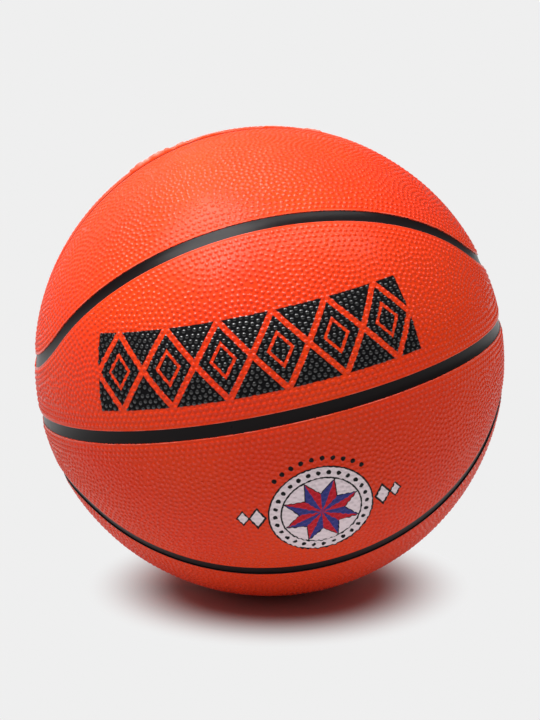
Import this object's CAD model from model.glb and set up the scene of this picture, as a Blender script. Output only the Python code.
from math import acos, asin, atan2, ceil, cos, pi, radians, sin, sqrt, tan

import bpy
import numpy as np
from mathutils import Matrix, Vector, kdtree
from mathutils.geometry import delaunay_2d_cdt


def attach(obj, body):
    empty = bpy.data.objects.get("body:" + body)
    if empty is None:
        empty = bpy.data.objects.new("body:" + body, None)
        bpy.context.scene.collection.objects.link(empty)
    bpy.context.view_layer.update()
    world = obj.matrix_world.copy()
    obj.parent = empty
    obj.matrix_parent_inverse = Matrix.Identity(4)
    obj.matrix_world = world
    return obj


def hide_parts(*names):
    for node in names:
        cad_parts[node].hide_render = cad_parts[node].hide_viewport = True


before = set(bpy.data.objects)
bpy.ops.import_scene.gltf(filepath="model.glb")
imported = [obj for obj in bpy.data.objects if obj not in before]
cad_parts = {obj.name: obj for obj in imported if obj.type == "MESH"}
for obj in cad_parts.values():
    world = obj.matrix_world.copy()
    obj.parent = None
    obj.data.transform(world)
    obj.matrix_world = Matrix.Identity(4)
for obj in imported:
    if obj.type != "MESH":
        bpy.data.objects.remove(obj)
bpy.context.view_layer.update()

# Sizes of the ball in millimetres and its angles, as the part has them
MM = 0.001
BALL_R = 120
COVER_T = 1.7
SEAT_R = BALL_R - COVER_T
GROOVE_DEPTH = 1
STRIP_R = BALL_R - GROOVE_DEPTH
SEAM_W = 6.4
PAD_DEPTH = 0.4
PAD_R = BALL_R - PAD_DEPTH
PAD_D = 16
LOOP_TILT = radians(45)
TIP_CENTRE = radians(42)
VALVE_LIFT = radians(22.5)
ROLL = radians(11.7)
TIP_REACH = asin(cos(LOOP_TILT) * sin(TIP_CENTRE))
RUN_HALF = acos(sin(LOOP_TILT) * sin(TIP_CENTRE) / cos(TIP_REACH))
TURN_HALF = acos(cos(LOOP_TILT) * cos(TIP_CENTRE) / cos(TIP_REACH))

# Directions in the ball's own axes, with the waist seam level
X, Y, Z = np.eye(3)
TIP = np.array([cos(TIP_CENTRE), 0, sin(TIP_CENTRE)])
TIP_DOWN = np.array([sin(TIP_CENTRE), 0, -cos(TIP_CENTRE)])
RUN_TOP = np.array([0, sin(LOOP_TILT), cos(LOOP_TILT)])
VALVE = np.array([0, cos(VALVE_LIFT), sin(VALVE_LIFT)])

# Pebbles lie in rows on arcs round many centres, as they were cut into the mould. The centres are uneven by a
# share of the radius, and some of them reach further than others
ARC_CENTRES = 90
CENTRE_SHIFT_SHARE = 0.06
ARC_REACH = 40
ARC_REACH_CHANGE = 3
ROW_GAP = 2.6
ALONG_GAP = 2.86
# Rows run along every rim too, at these distances inward from the middle of the seam
RIM_ROWS = (5.7, 8.15, 10.7)
ROW_SLACK = 0.1
# Pebbles of the rows keep the first gap, and loose ones fill what is left at the second. Then they are pushed
# apart from their neighbours in some rounds, by a share of what they lack to the third
ROW_KEEP = 2.3
LOOSE_KEEP = 2.5
LOOSE_TRIES = 12
EVEN_GAP = 3
EVEN_SHARE = 0.3
EVEN_ROUNDS = 12
NEIGHBOURS = 6
PEBBLE_R = 1.17
PEBBLE_H = 0.6
VALLEY_R = BALL_R - PEBBLE_H
LOWEST_SHARE = 0.86
SMALLEST_SHARE = 0.5
LEAST_VALLEY = 0.22
RIM_VALLEY = 0.05
# Section of a pebble: how many points a ring has, how far it is turned by a share of a step, and its shares
# of the radius and the height
PEBBLE_RINGS = ((5, 0.5, 0.44, 0.84), (10, 0, 0.79, 0.47), (10, 0.5, 1, 0))

# Rim of a cover panel: distance from the middle of the seam, and distance from the ball's centre
FOOT = 4.4
RIM = (
    (FOOT, VALLEY_R),
    (4.1, BALL_R - 0.54),
    (3.85, BALL_R - 0.47),
    (3.65, BALL_R - 0.43),
    (3.48, BALL_R - 0.43),
    (3.34, BALL_R - 0.48),
    (3.24, BALL_R - 0.62),
    (3.2, BALL_R - 0.82),
    (3.2, BALL_R - 1.15),
    (3.2, SEAT_R),
)
# Rims are laid out from a base line, a little further in than their foot, whose corners they turn round
CORNER_IN = 1.2
BASE_IN = FOOT + CORNER_IN
CORNER_STEPS = 7
# Edge of the hole for the valve: distance from its axis, and from the ball's centre
HOLE = ((4.9, PAD_R), (4.5, PAD_R - 0.05), (4.15, PAD_R - 0.2), (4, PAD_R - 0.5), (4, SEAT_R))
HOLE_STEPS = 48
# How far apart points are on the hollow side of a panel, and along every line
INSIDE_GAP = 9
STEP = 1.3

# Seam strips run on under the panels, and their middle lies hollow
STRIP_HALF = 4.6
STRIP_DIP = 0.3
STRIP_LIFT = 0.05
STRIP_FOOT_R = SEAT_R + STRIP_LIFT
STRIP_ROWS = 13
# Where a strip butts against another, it ends this much inside that one's edge
STRIP_LAP = 0.05
STRIP_END = (STRIP_HALF - STRIP_LAP) / BALL_R

# The mould parts along the ring seam and leaves a ragged fin, which raises these rows of the back rims
FLASH_ROWS = slice(2, 6)
FLASH_REACH, FLASH_FADE = 4.1, 0.3
FLASH_H = 2.1
FLASH_STEPS = 580
LEAST_TOOTH_SHARE = 0.65
# Low stretches of it, outside two angles on the ring in degrees
FLASH_STRETCHES = 28
LOW_SHARE = 0.3
LOW_END, LOW_START = 55, 180
# Where it stands highest: from and to an angle on the ring in degrees, and a share of the height
FLASH_SPANS = ((102.3, 114.4, 1), (98.4, 101.7, 0.85), (89, 97.6, 0.4), (74, 80, 0.35), (64.8, 70, 0.5))
FLASH_RAMP = 0.8

NEAR_POLE = 0.9
MAP_TOLERANCE = 1e-7

rng = np.random.default_rng(7)


def unit(v):
    return v / np.linalg.norm(v, axis=-1, keepdims=True)


def lie(points):
    """Turns points in millimetres from the ball's own axes to the way it lies, in metres."""
    x, y, z = points.T
    return MM * np.stack([x * cos(ROLL) - z * sin(ROLL), y, x * sin(ROLL) + z * cos(ROLL)], 1)


def basis(p):
    """Two directions along the skin at each point, the second one a quarter turn on as seen from outside."""
    towards = np.where(np.abs(p[..., 2:]) < NEAR_POLE, Z, X)
    first = unit(np.cross(towards, p))
    return first, np.cross(p, first)


def spread(count):
    """Directions spread evenly over the ball."""
    k = np.arange(count) + 0.5
    turn = k * pi * (1 + sqrt(5))
    height = 1 - 2 * k / count
    wide = np.sqrt(1 - height**2)
    return np.stack([wide * np.cos(turn), wide * np.sin(turn), height], 1)


# Distances over the skin from the middles of the seams, in millimetres


def ring_distance(p):
    return BALL_R * np.arcsin(np.clip(np.abs(p[:, 1]), 0, 1))


def waist_distance(p):
    return BALL_R * np.arcsin(np.clip(np.abs(p[:, 2]), 0, 1))


def loop_distance(p):
    """Positive on the oval's side."""
    q = np.abs(p) * (1, -1, 1)
    lift = np.arcsin(np.clip(q @ RUN_TOP, -1, 1))
    along = np.arctan2(q[:, 0], q[:, 2] * sin(LOOP_TILT) - q[:, 1] * cos(LOOP_TILT))
    turn = TIP_REACH - np.arccos(np.clip(q @ TIP, -1, 1))
    return BALL_R * np.where(along < RUN_HALF, lift, turn)


def seam_distance(p):
    return np.minimum(np.minimum(ring_distance(p), waist_distance(p)), np.abs(loop_distance(p)))


def panel_depth(p, oval):
    """Distance inward from the middles of the seams round a panel."""
    if oval:
        return np.minimum(ring_distance(p), loop_distance(p))
    return np.minimum(np.minimum(ring_distance(p), waist_distance(p)), -loop_distance(p))


# Lines along the seams of the front top quarter at given angles, shifted aside by an angle:
# the points, and directions along the skin that point back over the seam


def ring_line(angles, aside):
    side = np.outer(np.cos(angles), X) + np.outer(np.sin(angles), Z)
    return side * cos(aside) - Y * sin(aside), side * sin(aside) + Y * cos(aside)


def waist_line(angles, aside):
    side = np.outer(np.sin(angles), X) - np.outer(np.cos(angles), Y)
    return side * cos(aside) + Z * sin(aside), side * sin(aside) - Z * cos(aside)


def run_line(angles, aside):
    front = Z * sin(LOOP_TILT) - Y * cos(LOOP_TILT)
    side = np.outer(np.sin(angles), X) + np.outer(np.cos(angles), front)
    return side * cos(aside) + RUN_TOP * sin(aside), side * sin(aside) - RUN_TOP * cos(aside)


def turn_line(angles, aside):
    reach = TIP_REACH - aside
    side = np.outer(np.cos(angles), TIP_DOWN) - np.outer(np.sin(angles), Y)
    return side * sin(reach) + TIP * cos(reach), side * cos(reach) - TIP * sin(reach)


def loop_line(end, aside):
    """The whole front loop from left to right, cut off at an angle from the ring seam."""
    first = asin(sin(end) / sin(TIP_REACH - aside))
    turn = turn_line(np.linspace(TURN_HALF, first, ceil(BALL_R * sin(TIP_REACH) * TURN_HALF / STEP)), aside)
    run = run_line(np.linspace(-RUN_HALF, RUN_HALF, ceil(2 * BALL_R * RUN_HALF / STEP)), aside)
    return tuple(np.concatenate([t[::-1] * (-1, 1, 1), r[1:-1], t]) for t, r in zip(turn, run))


def spaced(start, end):
    return np.linspace(start, end, ceil(BALL_R * abs(end - start) / STEP))


def panel_sides(oval):
    """Base lines of a front top panel, counterclockwise from outside."""
    aside = BASE_IN / BALL_R
    points, back = loop_line(aside, aside if oval else -aside)
    rise = atan2(points[-1, 2], points[-1, 0])
    if oval:
        return [ring_line(spaced(rise, pi - rise), aside), (points, back)]
    foot, end = asin(tan(aside)), acos(tan(aside))
    return [
        ring_line(spaced(foot, rise), aside),
        (points[::-1], -back[::-1]),
        ring_line(spaced(pi - rise, pi - foot), aside),
        waist_line(spaced(-end, end), aside),
    ]


def closed_line(sides):
    """Joins the sides, with a fan of directions at each corner."""
    points, away = [], []
    for (p, a), (_, following) in zip(sides, sides[1:] + sides[:1]):
        share = np.arange(1, CORNER_STEPS)[:, None] / CORNER_STEPS
        points += [p, np.repeat(p[-1:], CORNER_STEPS - 1, 0)]
        away += [a, unit(a[-1] * (1 - share) + following[0] * share)]
    return np.concatenate(points), np.concatenate(away)


# Meshes


def around(line, profile):
    """Closed rows of points beside a base line, one for each step of a profile of distance and radius."""
    points, away = line
    rows = []
    for distance, radius in profile:
        turn = (BASE_IN - distance) / BALL_R
        rows.append(radius * (points * cos(turn) + away * sin(turn)))
    return rows


def skirt(first, rows, count):
    """Faces between closed rows of points that follow each other, seen with the panel on the left."""
    i = np.arange(count)
    j = (i + 1) % count
    faces = [np.stack([i, i + count, j + count, j], 1) + first + k * count for k in range(rows - 1)]
    return np.concatenate(faces).tolist()


def flattened(p, middle):
    """A map in which circles on the ball stay circles, so that its triangles suit the ball too."""
    right, up = basis(middle)
    return 2 * BALL_R * np.stack([p @ right, p @ up], 1) / (1 + p @ middle)[:, None]


def within(spots, loop):
    """Which spots of the map lie inside a closed line, by counting how often a ray crosses it."""
    inside = np.zeros(len(spots), bool)
    for a, b in zip(loop, np.roll(loop, -1, 0)):
        spans = (a[1] > spots[:, 1]) != (b[1] > spots[:, 1])
        if spans.any():
            crossing = a[0] + (spots[spans, 1] - a[1]) * (b[0] - a[0]) / (b[1] - a[1])
            inside[spans] ^= spots[spans, 0] < crossing
    return inside


def filled(points, loops, middle):
    """Triangles between closed lines of the skin, through all points, as indices of points."""
    spots = flattened(unit(points), middle)
    edges = [(a, b) for loop in loops for a, b in zip(loop, loop[1:] + loop[:1])]
    done = delaunay_2d_cdt([Vector(s) for s in spots.tolist()], edges, [], 0, MAP_TOLERANCE)
    source = np.array([found[0] for found in done[3]])
    faces = source[np.array(done[2])]
    centres = spots[faces].mean(1)
    keep = np.zeros(len(faces), bool)
    for loop in loops:
        keep ^= within(centres, spots[loop])
    return faces[keep].tolist()


def piece(name, points, faces, material, slot, nodes, flat=(), **attributes):
    """A mesh in the ball's own axes, in millimetres, that stands for CAD nodes; flat lists the flat faces."""
    mesh = bpy.data.meshes.new(name)
    mesh.from_pydata(lie(points).tolist(), [], faces)
    smooth = np.ones(len(faces), bool)
    smooth[list(flat)] = False
    mesh.polygons.foreach_set("use_smooth", smooth)
    for key, values in attributes.items():
        mesh.attributes.new(key, "FLOAT", "POINT").data.foreach_set("value", np.asarray(values, np.float32))
    mesh.materials.append(material)
    thing = bpy.data.objects.new(name, mesh)
    bpy.context.scene.collection.objects.link(thing)
    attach(thing, "root")
    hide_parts(nodes)


def tree_of(points):
    tree = kdtree.KDTree(len(points))
    for i, p in enumerate(points):
        tree.insert(p, i)
    tree.balance()
    return tree


def kept_apart(points, gap):
    """Indices of points that keep a gap to each other, the first ones first."""
    tree = tree_of(points)
    gone = np.zeros(len(points), bool)
    kept = []
    for i, p in enumerate(points):
        if not gone[i]:
            kept.append(i)
            for _, other, _ in tree.find_range(p, gap):
                gone[other] = True
    return kept


def rim_row(depth, shift):
    """A row of pebbles along every rim, at a depth inward from the seams and shifted by a share of a step."""
    rows = []
    for oval in (True, False):
        line = around(closed_line(panel_sides(oval)), ((depth, 1),))[0]
        line = np.concatenate([line, line[:1]])
        reached = np.concatenate([[0], np.cumsum(np.linalg.norm(np.diff(line, axis=0), axis=1))])
        count = round(BALL_R * reached[-1] / ALONG_GAP)
        stops = (np.arange(count) + shift) * reached[-1] / count
        row = unit(np.stack([np.interp(stops, reached, line[:, axis]) for axis in range(3)], 1))
        row = row[panel_depth(row, oval) > depth - ROW_SLACK]
        rows += [row * (1, y, z) for y in (1, -1) for z in (1, -1)]
    return np.concatenate(rows)


def evened(points, fixed):
    """Pushes crowded points apart and into the gaps between them; the first ones stay."""
    for _ in range(EVEN_ROUNDS):
        tree = tree_of(BALL_R * points)
        found = [tree.find_n(p, NEIGHBOURS + 1)[1:] for p in BALL_R * points]
        near = np.array([[other for _, other, _ in neighbours] for neighbours in found])
        away = points[:, None] - points[near]
        gap = np.linalg.norm(away, axis=2, keepdims=True)
        push = (away / gap * np.maximum(EVEN_GAP / BALL_R - gap, 0)).sum(1)
        push[:fixed] = 0
        points = unit(points + EVEN_SHARE * push)
    return points


def pebble_middles():
    """Directions of all pebbles on the ball."""
    centres = spread(ARC_CENTRES)
    centres = unit(centres + rng.normal(0, CENTRE_SHIFT_SHARE, centres.shape))
    further = rng.uniform(-ARC_REACH_CHANGE, ARC_REACH_CHANGE, ARC_CENTRES)
    fields = []
    for k, centre in enumerate(centres):
        right, up = basis(centre)
        field = [centre[None]]
        for row in range(1, ceil(ARC_REACH / ROW_GAP)):
            reach = row * ROW_GAP / BALL_R
            count = round(2 * pi * BALL_R * sin(reach) / ALONG_GAP)
            angle = rng.uniform(0, 2 * pi) + np.arange(count) * 2 * pi / count
            side = np.outer(np.cos(angle), right) + np.outer(np.sin(angle), up)
            field.append(centre * cos(reach) + side * sin(reach))
        field = np.concatenate(field)
        distance = BALL_R * np.arccos(np.clip(field @ centres.T, -1, 1)) - further
        fields.append(field[distance.argmin(1) == k])
    rims = [rim_row(depth, k % 2 / 2) for k, depth in enumerate(RIM_ROWS)]
    rows = np.concatenate(rims + fields)
    rows = rows[kept_apart(BALL_R * rows, ROW_KEEP)]
    loose = unit(rng.normal(0, 1, (LOOSE_TRIES * len(rows), 3)))
    tree = tree_of(BALL_R * rows)
    free = loose[[tree.find(p)[2] > LOOSE_KEEP for p in BALL_R * loose]]
    free = free[kept_apart(BALL_R * free, LOOSE_KEEP)]
    return evened(np.concatenate([rows, free]), len(rims[0]))


def domes(middles, radii):
    """Points of the pebbles, ring after ring. Returns them and how high each one stands."""
    right, up = basis(middles)
    height = PEBBLE_H * rng.uniform(LOWEST_SHARE, 1, len(middles)) * np.minimum(1, np.sqrt(radii / PEBBLE_R))
    rings = [(middles, height)]
    start = rng.uniform(0, 2 * pi, len(middles))
    for count, turned, share, rise in PEBBLE_RINGS:
        for k in range(count):
            angle = (start + (k + turned) * 2 * pi / count)[:, None]
            side = right * np.cos(angle) + up * np.sin(angle)
            rings.append((unit(middles + side * (radii * share / BALL_R)[:, None]), height * rise))
    directions = np.concatenate([r[0] for r in rings])
    heights = np.concatenate([r[1] for r in rings])
    return directions * (VALLEY_R + heights)[:, None], heights / PEBBLE_H


def fin_heights():
    """Height of the ragged fin at even steps round the ring seam: low at random, and high over some spans."""
    at = np.arange(FLASH_STEPS) * 360 / FLASH_STEPS
    stretches = np.interp(at, np.linspace(0, 360, FLASH_STRETCHES), rng.uniform(-1, 1, FLASH_STRETCHES))
    fin = LOW_SHARE * np.clip(stretches, 0, 1) * ((at < LOW_END) | (at > LOW_START))
    for start, end, share in FLASH_SPANS:
        fin = np.maximum(fin, share * np.clip(np.minimum(at - start, end - at) / FLASH_RAMP, 0, 1))
    return FLASH_H * fin * rng.uniform(LEAST_TOOTH_SHARE, 1, FLASH_STEPS)


def flash(points):
    """How far the fin stands up beside the ring seam, as a share of the ball's radius."""
    p = unit(points)
    near = np.clip((FLASH_REACH - ring_distance(p)) / FLASH_FADE, 0, 1)
    turn = np.arctan2(p[:, 2], p[:, 0]) % (2 * pi)
    ragged = np.interp(turn, np.arange(FLASH_STEPS) * 2 * pi / FLASH_STEPS, flash_heights, period=2 * pi)
    return near * ragged / BALL_R


def valve_hole():
    """Closed rows of points round the valve's hole, clockwise from outside."""
    right, up = basis(VALVE)
    angle = -np.arange(HOLE_STEPS) * 2 * pi / HOLE_STEPS
    side = np.outer(np.cos(angle), right) + np.outer(np.sin(angle), up)
    return [radius * unit(VALVE + side * distance / BALL_R) for distance, radius in HOLE]


def in_quarter(directions, signs):
    """Which directions lie in the quarter that these signs make of the front top one."""
    return (directions * signs @ -Y > 0) & (directions * signs @ Z > 0)


def panel_pebbles(oval, signs, has_valve):
    """Middles and radii of a panel's pebbles, which shrink where a seam, the valve or a neighbour is near."""
    here = in_quarter(middles, signs)
    local = middles[here]
    room = panel_depth(local, oval) - FOOT
    if has_valve:
        from_valve = BALL_R * np.arccos(np.clip(local @ VALVE, -1, 1))
        room = np.minimum(room, from_valve - PAD_D / 2)
    radii = np.minimum(np.minimum(PEBBLE_R, half_gaps[here] - LEAST_VALLEY / 2), room - RIM_VALLEY)
    big = radii > SMALLEST_SHARE * PEBBLE_R
    return local[big], radii[big]


def inside_points(oval, signs, has_valve):
    """Points over a panel's hollow side, clear of its rim and of the valve."""
    grid = spread(round(4 * pi * BALL_R**2 / INSIDE_GAP**2))
    grid = grid[in_quarter(grid, signs)]
    deep = panel_depth(grid, oval) > 2 * FOOT
    if has_valve:
        deep &= grid @ VALVE < cos(PAD_D / BALL_R)
    return grid[deep] * SEAT_R


def cover_panel(name, oval, back, bottom, material):
    """A moulded panel: rim, pebbled skin and hollow side, mirrored from the front top quarter."""
    signs = np.array([1, -1 if back else 1, -1 if bottom else 1])
    has_valve = back and not bottom and not oval
    base = tuple(v * signs for v in closed_line(panel_sides(oval)))
    if back != bottom:
        base = tuple(v[::-1] for v in base)
    rim = around(base, RIM)
    if back:
        rim[FLASH_ROWS] = [row * (1 + flash(row))[:, None] for row in rim[FLASH_ROWS]]

    points, faces, outer_loops, inner_loops, size = [], [], [], [], 0
    for rows in [rim, valve_hole()] if has_valve else [rim]:
        count = len(rows[0])
        points += rows
        faces += skirt(size, len(rows), count)
        outer_loops.append(list(range(size, size + count)))
        size += len(rows) * count
        inner_loops.append(list(range(size - count, size)))

    skin, high = domes(*panel_pebbles(oval, signs, has_valve))
    inside = inside_points(oval, signs, has_valve)
    points = np.concatenate(points + [skin, inside])
    crown = np.concatenate([np.zeros(size), high, np.zeros(len(inside))])
    on_skin = list(range(size, size + len(skin)))
    on_inside = list(range(size + len(skin), len(points)))
    middle = unit(points[outer_loops[0]].mean(0))
    flat = []
    for loops, more, way in ((outer_loops, on_skin, 1), (inner_loops, on_inside, -1)):
        used = [i for loop in loops for i in loop] + more
        place = {k: i for i, k in enumerate(used)}
        found = filled(points[used], [[place[k] for k in loop] for loop in loops], middle)
        found = np.array(used)[np.array(found)[:, ::way]]
        flat += [len(faces) + i for i in np.flatnonzero(crown[found].max(1) == 0)]
        faces += found.tolist()
    seam = seam_distance(unit(points))
    piece(name + "_skin", points, faces, material, "cover", name, flat=flat, crown=crown, seam=seam)


def ring_strip(aside):
    return ring_line(np.arange(0, 2 * pi, STEP / BALL_R), aside)


def waist_strip(aside):
    return waist_line(np.linspace(-1, 1, ceil(pi * BALL_R / STEP)) * acos(sin(STRIP_END) / cos(aside)), aside)


def loop_strip(aside):
    return loop_line(STRIP_END, aside)


def seam_strip(name, line, back=False, bottom=False, closed=False):
    """A strip swept along a line, which is a function of how far aside it runs."""
    signs = np.array([1, -1 if back else 1, -1 if bottom else 1])
    rows = []
    for aside in np.linspace(-STRIP_HALF, STRIP_HALF, STRIP_ROWS):
        direction = line(aside / BALL_R)[0] * signs
        near = np.minimum(seam_distance(direction) / (SEAM_W / 2), 1)
        rows.append(direction * (STRIP_R - STRIP_DIP * (1 - near**2))[:, None])
    rows += [unit(rows[-1]) * STRIP_FOOT_R, unit(rows[0]) * STRIP_FOOT_R]
    if back == bottom:
        rows = rows[::-1]
    across, along = len(rows), len(rows[0])
    i, j = np.meshgrid(np.arange(across), np.arange(along if closed else along - 1), indexing="ij")
    i2, j2 = (i + 1) % across, (j + 1) % along
    corners = (i * along + j, i2 * along + j, i2 * along + j2, i * along + j2)
    faces = np.stack(corners, -1).reshape(-1, 4).tolist()
    if not closed:
        starts = [k * along for k in range(across)]
        faces += [starts[::-1], [start + along - 1 for start in starts]]
    piece(name + "_strip", np.concatenate(rows), faces, seam_rubber, "seam", name)


# Materials


class Shader:
    """A material's nodes, written as sums."""

    DETAIL, FINE_DETAIL = 2, 3

    def __init__(self, name):
        self.material = bpy.data.materials.new(name)
        self.material.use_nodes = True
        self.tree = self.material.node_tree
        self.surface = self.tree.nodes["Principled BSDF"]

    def node(self, kind, settings=None, **inputs):
        made = self.tree.nodes.new("ShaderNode" + kind)
        for key, value in (settings or {}).items():
            setattr(made, key, value)
        for key, value in inputs.items():
            self.put(made.inputs[key], value)
        return made

    def put(self, socket, value):
        if isinstance(value, bpy.types.NodeSocket):
            self.tree.links.new(value, socket)
        else:
            socket.default_value = value

    def math(self, operation, *values):
        made = self.tree.nodes.new("ShaderNodeMath")
        made.operation = operation
        for socket, value in zip(made.inputs, values):
            self.put(socket, value)
        return made.outputs[0]

    def add(self, first, second):
        return self.math("ADD", first, second)

    def subtract(self, first, second):
        return self.math("SUBTRACT", first, second)

    def multiply(self, first, second):
        return self.math("MULTIPLY", first, second)

    def divide(self, first, second):
        return self.math("DIVIDE", first, second)

    def absolute(self, value):
        return self.math("ABSOLUTE", value)

    def vector(self, operation, *values):
        made = self.tree.nodes.new("ShaderNodeVectorMath")
        made.operation = operation
        for socket, value in zip(made.inputs, values):
            self.put(socket, value)
        return made.outputs["Value" if operation in ("DOT_PRODUCT", "LENGTH") else "Vector"]

    def step(self, value, low, high):
        """0 below low and 1 above high."""
        made = self.node("MapRange", {"interpolation_type": "SMOOTHSTEP"}, Value=value)
        made.inputs["From Min"].default_value = low
        made.inputs["From Max"].default_value = high
        return made.outputs["Result"]

    def below(self, value, low, high):
        """1 below low and 0 above high."""
        return self.subtract(1, self.step(value, low, high))

    def mix(self, share, first, second):
        """A colour between two."""
        made = self.tree.nodes.new("ShaderNodeMix")
        made.data_type = "RGBA"
        self.put(made.inputs[0], share)
        self.put(made.inputs[6], first)
        self.put(made.inputs[7], second)
        return made.outputs[2]

    def blend(self, share, first, second):
        """A number between two."""
        made = self.tree.nodes.new("ShaderNodeMix")
        self.put(made.inputs[0], share)
        self.put(made.inputs[2], first)
        self.put(made.inputs[3], second)
        return made.outputs[0]

    def place(self):
        return self.tree.nodes.new("ShaderNodeTexCoord").outputs["Object"]

    def noise(self, size, detail=DETAIL):
        """Noise of a grain size in millimetres, round 0.5."""
        made = self.node("TexNoise", Vector=self.place())
        made.inputs["Scale"].default_value = 1 / (size * MM)
        made.inputs["Detail"].default_value = detail
        return made.outputs["Fac"]

    def vary(self, size, amount, detail=DETAIL):
        """Noise round zero, by up to half the amount to each side."""
        return self.multiply(self.subtract(self.noise(size, detail), 0.5), amount)

    def read(self, name):
        made = self.tree.nodes.new("ShaderNodeAttribute")
        made.attribute_name = name
        return made.outputs["Fac"]

    def bump(self, height, depth):
        made = self.node("Bump", Height=height)
        made.inputs["Distance"].default_value = depth * MM
        self.put(self.surface.inputs["Normal"], made.outputs["Normal"])


def colour(r, g, b):
    """A colour given as on screen."""
    return tuple(c / 12.92 if c <= 0.04045 else ((c + 0.055) / 1.055) ** 2.4 for c in (r, g, b)) + (1,)


ORANGE = (0.80, 0.044, 0.0060, 1)
ORANGE_DEEP = (0.78, 0.037, 0.0045, 1)
BLACK = (0.0062, 0.0036, 0.0042, 1)
INK_BLACK = (0.0025, 0.0022, 0.0030, 1)
WORN = colour(0.95, 0.60, 0.54)
INK_WHITE = colour(0.93, 0.86, 0.88)
INK_RED = colour(0.78, 0.10, 0.17)
INK_BLUE = colour(0.22, 0.23, 0.52)

# The edges of both prints waver with this grain
PRINT_GRAIN = 2.2

# Frieze of lozenges on the upper front: from and to above the waist, and round the ball
FRIEZE_LOW, FRIEZE_HIGH = radians(6.3), radians(24)
FRIEZE_LEFT, FRIEZE_RIGHT = radians(-48), radians(32.3)
LOZENGES = 6
# Its lines as shares of half its height: an edge blurs between two shares
BORDER_SHARES = (0.985, 1.015)
CHANNEL_SHARES = (0.115, 0.145)
INSET_SHARE, INSET_SHARES = 0.42, (0.05, 0.08)
END_SHARE = 0.01
FRIEZE_WAVER_SHARE = 0.05

# Rosette on the lower front: where its middle lies and how it is turned
ROSETTE_LIFT, ROSETTE_TURN, ROSETTE_TILT = radians(-25.3), radians(0.9), radians(-3)
ROSETTE_WAVER = 0.35
INK_BLUR, DOT_BLUR, HALF_BLUR = 0.12, 0.1, 0.01
# Radii of its discs in millimetres, from the outer one inward, with their colours
OUTER_DISCS = ((25.6, INK_BLACK), (24.8, INK_WHITE))
INNER_DISCS = ((19.8, INK_BLACK), (19, INK_WHITE))
STAR_POINTS = 8
STAR_TIP, STAR_NOTCH, STAR_LINE = 18.4, 10.6, 0.5
# Rings of dots: how many to a full circle, the circle's radius and a dot's radius
BEADS = (28, 22.2, 1.15)
ARC_DOTS = (36, 29.6, 1.2)
ARC_SPAN = (0.87, 0.88)
# Diamonds on both sides: how far their middles are out, half the width and half the height
DIAMONDS = ((30.4, 3.6, 5.6), (37, 2.6, 4))
DIAMOND_LINE_SHARES = (1.17, 1.25)
DIAMOND_FIELD_SHARES = (0.85, 0.93)

# Roughness and gloss of the inks, each in the valleys and on the crowns of the pebbles
FRIEZE_FINISH = ((0.6, 0.11), (0.1, 1))
ROSETTE_FINISH = ((0.4, 0.4), (0.15, 0.15))

# Cover rubber: grains in millimetres, and how much colour and finish change over them
PATCH_GRAIN, PATCH_VALUE = 38, 0.12
HUE_GRAIN, HUE_SHIFT = 60, 0.006
ROUGH, ROUGH_GRAIN, ROUGH_CHANGE = 0.26, 9, 0.1
CROWN_SMOOTHER = 0.12
CROWN_SHADE_SHARE = 0.9
CROWN_TOP_SHARES = (0.3, 0.6)
VALLEY_GLOSS, CROWN_GLOSS = 0.14, 0.34
SKIN_GRAIN, SKIN_DEPTH = 0.5, 0.006
# The edge beside a seam is worn pale: distances from the seam's middle, and patches by noise
WORN_FROM, WORN_TO = (3.2, 3.34), (3.42, 3.62)
WORN_GRAIN, WORN_PATCHES, WORN_SHARE = 5, (0.3, 0.7), 0.5
# The seam's black paint ends at a distance from its middle and is ragged by an amount
FRONT_PAINT, BACK_PAINT, LOW_PAINT = (3.12, 0.9), (3.14, 0.1), (3.55, 0.3)
PAINT_GRAIN, PAINT_BLUR = 1.1, 0.08


def ball_directions(s):
    """Direction of a point from the ball's centre, in the ball's own axes."""
    turned = s.node("VectorRotate", {"rotation_type": "Y_AXIS"}, Vector=s.place(), Angle=ROLL)
    return s.vector("NORMALIZE", turned.outputs["Vector"])


def frieze(s, base):
    """The colour with the row of lozenges over it, and where it has ink."""
    p = ball_directions(s)
    height = s.math("ARCSINE", s.vector("DOT_PRODUCT", p, Z))
    along = s.math("ARCTAN2", s.vector("DOT_PRODUCT", p, X), s.vector("DOT_PRODUCT", p, -Y))
    up = s.divide(s.subtract(height, (FRIEZE_LOW + FRIEZE_HIGH) / 2), (FRIEZE_HIGH - FRIEZE_LOW) / 2)
    up = s.absolute(s.add(up, s.vary(PRINT_GRAIN, FRIEZE_WAVER_SHARE)))
    over = s.multiply(s.subtract(along, FRIEZE_LEFT), LOZENGES / (FRIEZE_RIGHT - FRIEZE_LEFT))
    from_middle = s.absolute(s.subtract(s.math("FRACT", over), 0.5))
    slant = s.add(up, s.multiply(from_middle, 2))
    ink = s.below(up, *BORDER_SHARES)
    ink = s.multiply(ink, s.step(over, -END_SHARE, END_SHARE))
    ink = s.multiply(ink, s.below(over, LOZENGES - END_SHARE, LOZENGES + END_SHARE))
    ink = s.multiply(ink, s.step(s.absolute(s.subtract(slant, 1)), *CHANNEL_SHARES))
    ink = s.multiply(ink, s.step(s.absolute(s.subtract(slant, INSET_SHARE)), *INSET_SHARES))
    return s.mix(ink, base, INK_BLACK), ink


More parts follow.
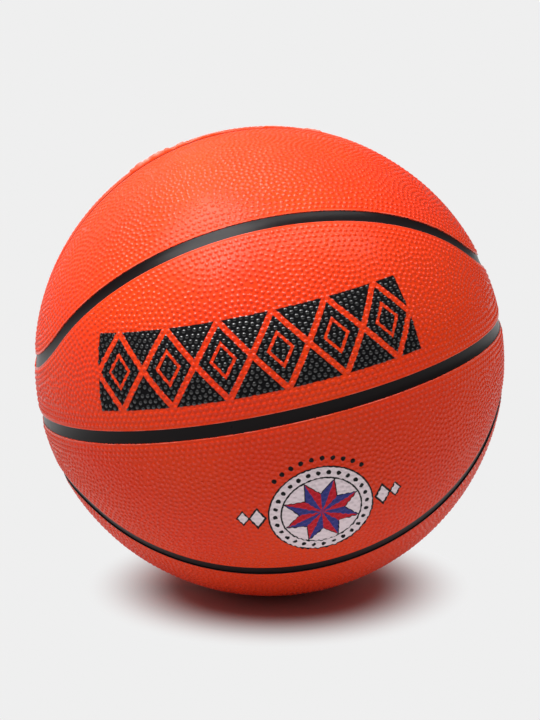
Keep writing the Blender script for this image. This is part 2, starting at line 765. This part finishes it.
class RoundPrint:
    """Where points lie on a round print: x across, y up, reach from its middle, and angle."""

    def __init__(self, s):
        self.s = s
        middle = sin(ROSETTE_TURN) * X - cos(ROSETTE_TURN) * Y
        middle = cos(ROSETTE_LIFT) * middle + sin(ROSETTE_LIFT) * Z
        east = cos(ROSETTE_TURN) * X + sin(ROSETTE_TURN) * Y
        north = np.cross(middle, east)
        right = east * cos(ROSETTE_TILT) + north * sin(ROSETTE_TILT)
        up = north * cos(ROSETTE_TILT) - east * sin(ROSETTE_TILT)
        p, waver = ball_directions(s), s.vary(PRINT_GRAIN, ROSETTE_WAVER)
        self.x, self.y = (
            s.add(s.multiply(s.vector("DOT_PRODUCT", p, axis), BALL_R), waver) for axis in (right, up)
        )
        self.reach = s.math("SQRT", s.add(s.multiply(self.x, self.x), s.multiply(self.y, self.y)))
        self.angle = s.math("ARCTAN2", self.y, self.x)

    def disc(self, radius):
        return self.s.below(self.reach, radius - INK_BLUR, radius + INK_BLUR)

    def star(self):
        """How far a point is outside the star's edge, and which half of a ray it is in."""
        s, part = self.s, 2 * pi / STAR_POINTS
        signed = s.subtract(s.math("FRACT", s.divide(s.add(self.angle, 2 * pi), part)), 0.5)
        from_ray = s.multiply(s.absolute(signed), part)
        along = s.multiply(self.reach, s.math("COSINE", from_ray))
        beside = s.multiply(self.reach, s.math("SINE", from_ray))
        out = STAR_NOTCH * sin(part / 2), STAR_TIP - STAR_NOTCH * cos(part / 2)
        size = sqrt(out[0] ** 2 + out[1] ** 2)
        beyond = s.multiply(s.subtract(along, STAR_TIP), out[0] / size)
        return s.add(beyond, s.multiply(beside, out[1] / size)), s.step(signed, -HALF_BLUR, HALF_BLUR)

    def dots(self, count, at, radius, start=0):
        """Round dots on a circle, all round it."""
        s, part = self.s, 2 * pi / count
        sector = s.math("FRACT", s.divide(s.add(self.angle, 2 * pi - start + part / 2), part))
        side = s.multiply(s.subtract(sector, 0.5), part * at)
        off = s.subtract(self.reach, at)
        gap = s.math("SQRT", s.add(s.multiply(side, side), s.multiply(off, off)))
        return s.below(gap, radius - DOT_BLUR, radius + DOT_BLUR)

    def diamond(self, at, wide, tall):
        """Distance from a diamond's middle, 1 at its edge."""
        s = self.s
        across = s.divide(s.absolute(s.subtract(self.x, at)), wide)
        return s.add(across, s.divide(s.absolute(self.y), tall))


def rosette(s, base):
    """The colour with the round print over it, and where it has ink."""
    place = RoundPrint(s)
    shade, ink = base, place.disc(OUTER_DISCS[0][0])
    for radius, tint in OUTER_DISCS:
        shade = s.mix(place.disc(radius), shade, tint)
    shade = s.mix(place.dots(*BEADS), shade, INK_BLACK)
    for radius, tint in INNER_DISCS:
        shade = s.mix(place.disc(radius), shade, tint)
    outside, half = place.star()
    shade = s.mix(s.below(outside, STAR_LINE - INK_BLUR, STAR_LINE + INK_BLUR), shade, INK_BLACK)
    shade = s.mix(s.below(outside, -INK_BLUR, INK_BLUR), shade, s.mix(half, INK_RED, INK_BLUE))
    for side in (-1, 1):
        for at, wide, tall in DIAMONDS:
            away = place.diamond(side * at, wide, tall)
            outer = s.below(away, *DIAMOND_LINE_SHARES)
            ink = s.math("MAXIMUM", ink, outer)
            shade = s.mix(outer, shade, INK_BLACK)
            shade = s.mix(s.below(away, *DIAMOND_FIELD_SHARES), shade, INK_WHITE)
    above = s.below(s.absolute(s.subtract(place.angle, pi / 2)), *ARC_SPAN)
    arc = s.multiply(place.dots(*ARC_DOTS, start=pi / ARC_DOTS[0]), above)
    return s.mix(arc, shade, INK_BLACK), s.math("MAXIMUM", ink, arc)


def cover_material(name, paint=FRONT_PAINT, printed=None, finish=None):
    """Pebbled rubber, with a print and its finish over it where they are given."""
    s = Shader(name)
    crown, seam = s.read("crown"), s.read("seam")
    tinted = s.node("HueSaturation", Color=s.mix(s.step(crown, 0, CROWN_SHADE_SHARE), ORANGE, ORANGE_DEEP))
    s.put(tinted.inputs["Value"], s.add(1, s.vary(PATCH_GRAIN, PATCH_VALUE, s.FINE_DETAIL)))
    s.put(tinted.inputs["Hue"], s.add(0.5, s.vary(HUE_GRAIN, HUE_SHIFT)))
    base = tinted.outputs["Color"]
    rough = s.add(ROUGH, s.vary(ROUGH_GRAIN, ROUGH_CHANGE, s.FINE_DETAIL))
    rough = s.subtract(rough, s.multiply(crown, CROWN_SMOOTHER))
    top = s.step(crown, *CROWN_TOP_SHARES)
    gloss = s.blend(top, VALLEY_GLOSS, CROWN_GLOSS)
    if printed:
        base, ink = printed(s, base)
        ink_rough, ink_gloss = (s.blend(top, *ends) for ends in finish)
        rough = s.blend(ink, rough, ink_rough)
        gloss = s.blend(ink, gloss, ink_gloss)
    worn = s.multiply(s.step(seam, *WORN_FROM), s.below(seam, *WORN_TO))
    worn = s.multiply(worn, s.step(s.noise(WORN_GRAIN, s.FINE_DETAIL), *WORN_PATCHES))
    base = s.mix(s.multiply(worn, WORN_SHARE), base, WORN)
    limit, ragged = paint
    painted = s.below(s.add(seam, s.vary(PAINT_GRAIN, ragged, s.FINE_DETAIL)), limit, limit + PAINT_BLUR)
    s.put(s.surface.inputs["Base Color"], s.mix(painted, base, BLACK))
    s.put(s.surface.inputs["Roughness"], rough)
    s.put(s.surface.inputs["Specular IOR Level"], gloss)
    s.bump(s.noise(SKIN_GRAIN), SKIN_DEPTH)
    return s.material


# Plain rubbers: grains of the colour and of the finish, and how much these change
SHADE_GRAIN, DARKER_SHARE = 6, 0.2
FINISH_GRAIN, FINISH_CHANGE = 4, 0.1


def rubber(name, shade, rough, grain=0.5, depth=0.01, gloss=0.5):
    s = Shader(name)
    dark = tuple(c * (1 - DARKER_SHARE) for c in shade[:3]) + (1,)
    s.put(s.surface.inputs["Base Color"], s.mix(s.noise(SHADE_GRAIN, s.FINE_DETAIL), dark, shade))
    s.put(s.surface.inputs["Roughness"], s.add(rough, s.vary(FINISH_GRAIN, FINISH_CHANGE, s.FINE_DETAIL)))
    s.surface.inputs["Specular IOR Level"].default_value = gloss
    s.bump(s.noise(grain), depth)
    return s.material


# Thread: how close its waves are, how much they waver, and how high they stand in millimetres
THREAD_WAVES, THREAD_WAVER, THREAD_DEPTH = 400, 6, 0.1
THREAD_DARK, THREAD_PALE = colour(0.72, 0.7, 0.64), colour(0.88, 0.86, 0.8)
THREAD_ROUGH = 0.8


def thread(name):
    s = Shader(name)
    waves = s.node("TexWave", Vector=s.place(), Scale=THREAD_WAVES, Distortion=THREAD_WAVER)
    s.put(s.surface.inputs["Base Color"], s.mix(waves.outputs["Fac"], THREAD_DARK, THREAD_PALE))
    s.surface.inputs["Roughness"].default_value = THREAD_ROUGH
    s.bump(waves.outputs["Fac"], THREAD_DEPTH)
    return s.material


seam_rubber = rubber("seam_rubber", BLACK, rough=0.3, grain=0.35, depth=0.008, gloss=0.12)
inner_materials = {
    "carcass": rubber("carcass_rubber", colour(0.18, 0.17, 0.16), rough=0.75),
    "bladder": rubber("bladder_rubber", colour(0.19, 0.19, 0.2), rough=0.6),
    "valve_housing": rubber("valve_rubber", colour(0.13, 0.13, 0.14), rough=0.6),
    "valve_plug": rubber("plug_rubber", colour(0.2, 0.2, 0.21), rough=0.65),
    "winding": thread("nylon_winding"),
}
for key, material in inner_materials.items():
    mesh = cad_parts[key].data
    mesh.materials.clear()
    mesh.materials.append(material)

front_cover = cover_material("pebbled_rubber")
back_cover = cover_material("pebbled_rubber_dark_wall", BACK_PAINT)
special_covers = {
    "band_front_top": cover_material("pebbled_rubber_frieze", FRONT_PAINT, frieze, FRIEZE_FINISH),
    "band_front_bottom": cover_material("pebbled_rubber_rosette", FRONT_PAINT, rosette, ROSETTE_FINISH),
    "oval_front_bottom": cover_material("pebbled_rubber_dark_rim", LOW_PAINT),
}

# The ball: eight panels and seven strips
flash_heights = fin_heights()
middles = pebble_middles()
tree = tree_of(BALL_R * middles)
half_gaps = np.array([tree.find_n(p, 2)[1][2] / 2 for p in BALL_R * middles])
for form in ("oval", "band"):
    for side in ("front", "back"):
        for level in ("top", "bottom"):
            name = f"{form}_{side}_{level}"
            cover = special_covers.get(name, back_cover if side == "back" else front_cover)
            cover_panel(name, form == "oval", side == "back", level == "bottom", cover)

seam_strip("seam_ring", ring_strip, closed=True)
for side in ("front", "back"):
    seam_strip(f"seam_waist_{side}", waist_strip, side == "back")
    for level in ("top", "bottom"):
        seam_strip(f"seam_loop_{side}_{level}", loop_strip, side == "back", level == "bottom")

# Stage, in metres: a pale floor under soft light, seen as the photograph sees it
FLOOR_Z = -BALL_R * MM
FLOOR_REACH = 40
PALE_GREY = (0.863, 0.863, 0.863, 1)
WHITE = (1, 1, 1, 1)
# The floor takes the ball's shadow round this point, out to an end for the camera and to another for light.
# Its colour there holds the ball's red bounce
SHADOW_MIDDLE = Vector((0.005, 0.002, FLOOR_Z))
SHADOW_CORE, SHADOW_END, BOUNCE_END = 0.05, 0.102, 0.18
FLOOR_GREY = (0.85, 0.85, 0.85, 1)
SHADOW_SHADE = (0.6, 0.36, 0.34, 1)
FLOOR_ROUGH = 0.9

floor_mesh = bpy.data.meshes.new("floor")
corners = [(x * FLOOR_REACH, y * FLOOR_REACH, FLOOR_Z) for x, y in ((-1, -1), (1, -1), (1, 1), (-1, 1))]
floor_mesh.from_pydata(corners, [], [(0, 1, 2, 3)])
floor = bpy.data.objects.new("floor", floor_mesh)
bpy.context.scene.collection.objects.link(floor)


def floor_material():
    """Takes the ball's shadow near it, and is an even pale grey further out."""
    s = Shader("floor")
    s.surface.inputs["Roughness"].default_value = FLOOR_ROUGH
    s.surface.inputs["Specular IOR Level"].default_value = 0
    distance = s.vector("LENGTH", s.vector("SUBTRACT", s.place(), SHADOW_MIDDLE))
    glow = s.node("Emission", Color=PALE_GREY)
    path = s.tree.nodes.new("ShaderNodeLightPath")
    seen = path.outputs["Is Camera Ray"]
    s.put(s.surface.inputs["Base Color"], s.mix(seen, FLOOR_GREY, SHADOW_SHADE))
    for_light, for_camera = (s.step(distance, SHADOW_CORE, end) for end in (BOUNCE_END, SHADOW_END))
    share = s.blend(seen, for_light, for_camera)
    mixed = s.tree.nodes.new("ShaderNodeMixShader")
    for socket, value in zip(mixed.inputs, (share, s.surface.outputs[0], glow.outputs[0])):
        s.put(socket, value)
    s.put(s.tree.nodes["Material Output"].inputs["Surface"], mixed.outputs[0])
    return s.material


floor_mesh.materials.append(floor_material())

# Light of the room, and where along each axis it changes from one level to the next
FRONT_LIGHT, BEHIND_LIGHT, ABOVE_LIGHT = 0.18, 0.6, 0.15
BEHIND_FROM, BEHIND_TO = 0.1, 0.75
ABOVE_FROM, ABOVE_TO = 0.25, 0.9
RIGHT_FROM, RIGHT_TO = -0.1, 0.7


def studio_light(tree):
    """A dim room, lighter above and pale behind on the left; the camera sees the pale sweep everywhere."""

    def node(kind, *values, **settings):
        made = tree.nodes.new("ShaderNode" + kind)
        for key, value in settings.items():
            setattr(made, key, value)
        for socket, value in zip(made.inputs, values):
            if isinstance(value, bpy.types.NodeSocket):
                tree.links.new(value, socket)
            elif value is not None:
                socket.default_value = value
        return made

    def change(axis, *ends):
        """A level that goes from one end to the other between two places on an axis."""
        return node("MapRange", towards[axis], *ends, interpolation_type="SMOOTHSTEP").outputs[0]

    towards = node("SeparateXYZ", node("TexCoord").outputs["Generated"]).outputs
    left = change("X", RIGHT_FROM, RIGHT_TO, BEHIND_LIGHT, 0)
    behind = change("Y", BEHIND_FROM, BEHIND_TO, 0, left)
    above = change("Z", ABOVE_FROM, ABOVE_TO, FRONT_LIGHT, FRONT_LIGHT + ABOVE_LIGHT)
    level = node("Math", behind, above, operation="ADD")
    room = node("Background", WHITE, level.outputs[0])
    seen = node("Background", PALE_GREY)
    path = node("LightPath").outputs
    either = node("Math", path["Is Camera Ray"], path["Is Transmission Ray"], operation="MAXIMUM")
    mixed = node("MixShader", either.outputs[0], room.outputs[0], seen.outputs[0])
    tree.links.new(mixed.outputs[0], tree.nodes["World Output"].inputs["Surface"])


world = bpy.data.worlds.new("studio")
bpy.context.scene.world = world
world.use_nodes = True
studio_light(world.node_tree)


def lamp(name, turn, lift, distance, size, power):
    """A soft box that faces the ball; turn is counted from straight in front, towards the left."""
    data = bpy.data.lights.new(name, "AREA")
    data.shape = "RECTANGLE"
    data.size, data.size_y = size
    data.energy = power
    thing = bpy.data.objects.new(name, data)
    towards = Vector((-sin(turn) * cos(lift), -cos(turn) * cos(lift), sin(lift)))
    thing.location = towards * distance
    thing.rotation_euler = towards.to_track_quat("Z", "Y").to_euler()
    thing.visible_camera = False
    bpy.context.scene.collection.objects.link(thing)


lamp("key", turn=radians(55), lift=radians(60), distance=0.36, size=(0.2, 0.2), power=1.3)
lamp("front", turn=radians(-12), lift=radians(64), distance=0.45, size=(0.6, 0.1), power=1.25)

# Camera: distance in ball radii, elevation and azimuth as measured from the photograph
FRAME_W, FRAME_H = 540, 720
OUTLINE_PX = 235.3
CENTRE_PX = (269.3, 361)
DISTANCE = 9
ELEVATION, AZIMUTH = radians(12), radians(6.84)
SENSOR_W = 36
FAR_END = 200
camera = bpy.data.objects.new("camera", bpy.data.cameras.new("camera"))
away = Vector((-sin(AZIMUTH) * cos(ELEVATION), -cos(AZIMUTH) * cos(ELEVATION), sin(ELEVATION)))
camera.location = away * DISTANCE * BALL_R * MM
camera.rotation_euler = (-away).to_track_quat("-Z", "Y").to_euler()
lens = camera.data
lens.sensor_width = SENSOR_W
lens.lens = SENSOR_W * OUTLINE_PX * sqrt(DISTANCE**2 - 1) / FRAME_H
lens.shift_x = (FRAME_W / 2 - CENTRE_PX[0]) / FRAME_H
lens.shift_y = (CENTRE_PX[1] - FRAME_H / 2) / FRAME_H
lens.clip_end = FAR_END
bpy.context.scene.collection.objects.link(camera)
bpy.context.scene.camera = camera
bpy.context.scene.view_settings.view_transform = "Standard"
